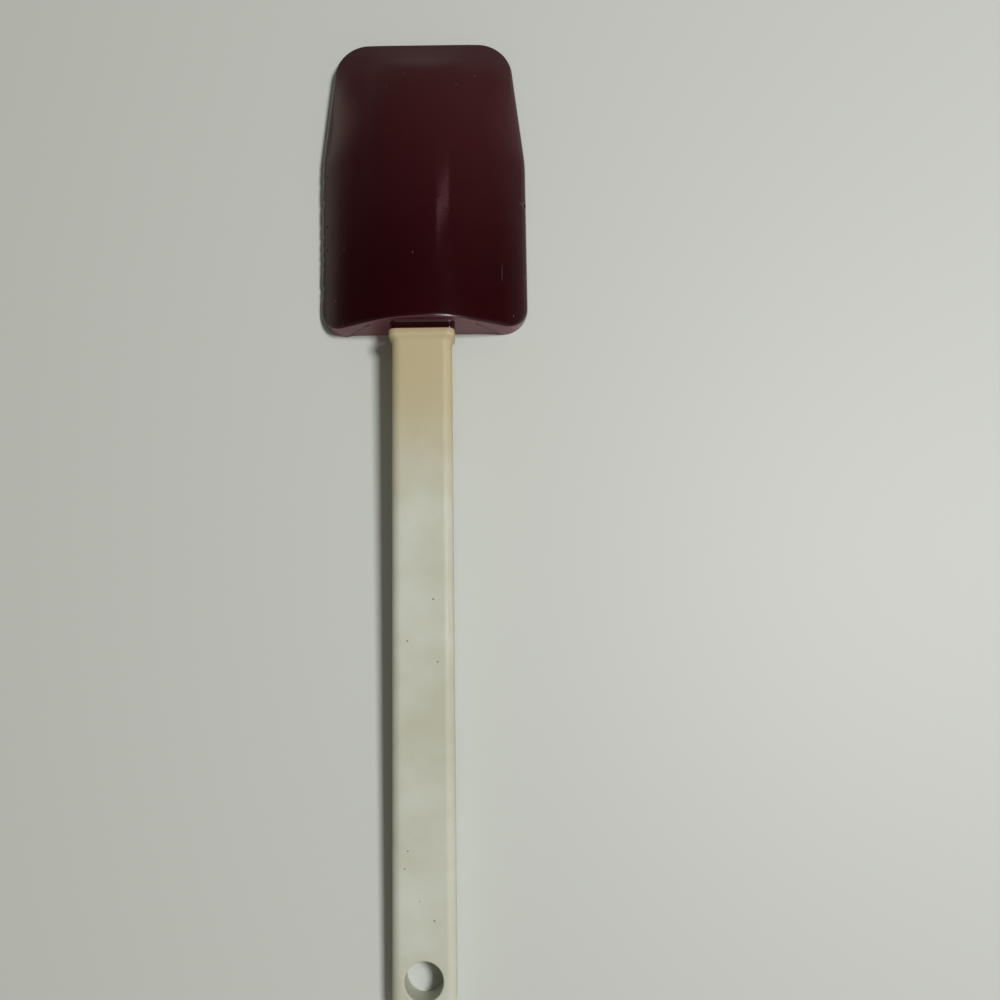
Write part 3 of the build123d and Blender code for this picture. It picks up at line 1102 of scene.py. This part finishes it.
# Satin skin with scratches along the handle, drawn somewhat coarser than real ones so that they show
scratch_length = 30.0
scratch_width = 0.35
scratch_depth = 0.01
satin_least, satin_most = 0.5, 0.66
draw_out = add_node(
    nylon,
    "Mapping",
    {"Scale": (per_metre(scratch_width), per_metre(scratch_length), per_metre(scratch_width))},
    {"Vector": place},
)
scratch = add_node(nylon, "TexNoise", {"Scale": 1.0, "Detail": 3.0}, {"Vector": draw_out})
satin = add_node(
    nylon,
    "MapRange",
    {"From Min": noise_low, "From Max": noise_high, "To Min": satin_least, "To Max": satin_most},
    {"Value": scratch},
)
nylon.node_tree.links.new(satin.outputs[0], nylon_shader.inputs["Roughness"])
scratch_bump = add_node(
    nylon, "Bump", {"Distance": scratch_depth * millimetre}, {"Height": scratch}
)
nylon.node_tree.links.new(scratch_bump.outputs["Normal"], nylon_shader.inputs["Normal"])
handle.data.materials.append(nylon)
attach(handle, "handle")
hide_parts("handle")

# Stage: a plain pale table top, a soft key light from the right, and a dim room around
table_half = 1.5
table_grid = np.linspace(-table_half, table_half, 3)
table_plan = np.stack(np.meshgrid(table_grid, table_grid), axis=-1)
table_mesh = bpy.data.meshes.new("table")
table_faces = grid_faces(*table_plan.shape[:2], False)
table_mesh.from_pydata(stand(table_plan, 0.0).reshape(-1, 3).tolist(), [], table_faces.tolist())
table = bpy.data.objects.new("table", table_mesh)
bpy.context.scene.collection.objects.link(table)
laminate_grey = "#c2c6c0"
laminate = bpy.data.materials.new("pale_laminate")
laminate.use_nodes = True
laminate_shader = laminate.node_tree.nodes["Principled BSDF"]
laminate_shader.inputs["Base Color"].default_value = linear(laminate_grey)
laminate_shader.inputs["Roughness"].default_value = 0.55
table.data.materials.append(laminate)


def add_lamp(name, spot, aim, size, energy, roll=0, colour="#ffffff"):
    """Rectangular soft lamp of a size in metres, at a spot, turned towards the point that it lights
    and then rolled about that line, in degrees"""
    lamp = bpy.data.lights.new(name, "AREA")
    lamp.shape = "RECTANGLE"
    lamp.size, lamp.size_y = size
    lamp.energy = energy
    lamp.color = linear(colour)[:3]
    lamp_object = bpy.data.objects.new(name, lamp)
    lamp_object.location = spot
    towards = (Vector(aim) - Vector(spot)).to_track_quat("-Z", "Y")
    turn = towards @ Quaternion((0, 0, 1), math.radians(roll))
    lamp_object.rotation_euler = turn.to_euler()
    bpy.context.scene.collection.objects.link(lamp_object)


# The key lamp hangs to the right and throws the shadow to the left of the tool. A weak strip
# beyond the head shows only as the soft highlight on its ridge.
ridge_spot, ridge_aim = (0.28, 0.403, 0.70), (0.005, 0.11, 0.02)
add_lamp("key", (0.63, 0.075, 1.35), (0, 0, 0), (0.285, 0.285), 18.0)
add_lamp("ridge_strip", ridge_spot, ridge_aim, (0.2, 0.025), 0.03, 58, "#ffb9c2")

# Dim room: it is dark overhead, where the camera is held, paler ahead of and behind the tool, and
# pale near the horizon except straight ahead. Its brightness is read from the direction, and its
# light is warm.
room_warmth = (1.05, 0.97, 0.82, 1.0)
right_gain = 0.35
along_stops = (
    (-1, 0.3),
    (0, 0.15),
    (0.2, 0.04),
    (0.31, 0.025),
    (0.36, 0.06),
    (0.43, 0.13),
    (0.65, 0.16),
    (1, 0.2),
)
horizon_stops = ((0, 0.75), (0.12, 0.34), (0.2, 0.13), (0.3, 0.04), (0.4, 0))
not_ahead_stops = ((0.6, 1), (0.95, 0.15))
world = bpy.data.worlds.new("room")
bpy.context.scene.world = world
world.use_nodes = True
room = world.node_tree.nodes["Background"]
sky = add_node(world, "TexCoord").outputs["Generated"]
direction = add_node(world, "SeparateXYZ", None, {"Vector": sky})


def grey_ramp(source, stops):
    """Brightness read along a coordinate, in straight lines between pairs of place and value"""
    first, last = stops[0][0], stops[-1][0]
    share = add_node(world, "MapRange", {"From Min": first, "From Max": last}, {"Value": source})
    ramp = add_node(world, "ValToRGB", None, {"Fac": share})
    elements = ramp.color_ramp.elements
    for number, (spot, grey) in enumerate(stops):
        spot = (spot - first) / (last - first)
        element = elements[number] if number < 2 else elements.new(spot)
        element.position = spot
        element.color = (grey, grey, grey, 1)
    return ramp


walls = grey_ramp(direction.outputs["Y"], along_stops)
slant = add_node(
    world, "Math", {"operation": "MULTIPLY_ADD", 1: right_gain, 2: 1.0}, {0: direction.outputs["X"]}
)
slanted = add_node(world, "Math", times, {0: walls, 1: slant})
horizon = grey_ramp(direction.outputs["Z"], horizon_stops)
not_ahead = grey_ramp(direction.outputs["Y"], not_ahead_stops)
low = add_node(world, "Math", times, {0: horizon, 1: not_ahead})
light = add_node(world, "Math", {"operation": "ADD"}, {0: slanted, 1: low})
world.node_tree.links.new(light.outputs[0], room.inputs["Strength"])
room.inputs["Color"].default_value = room_warmth
bpy.context.scene.view_settings.view_transform = "Standard"

# Camera: above the grip, looking down and a little towards the tip, as the photograph was taken
lens = bpy.data.cameras.new("camera")
lens.lens = 36.0
lens.sensor_width = 36.0
camera = bpy.data.objects.new("camera", lens)
camera.location = (0.02575, -0.0614, 0.352)
camera.rotation_euler = (math.radians(9.5), 0, math.radians(-0.84))
bpy.context.scene.collection.objects.link(camera)
bpy.context.scene.camera = camera

bpy.context.view_layer.update()
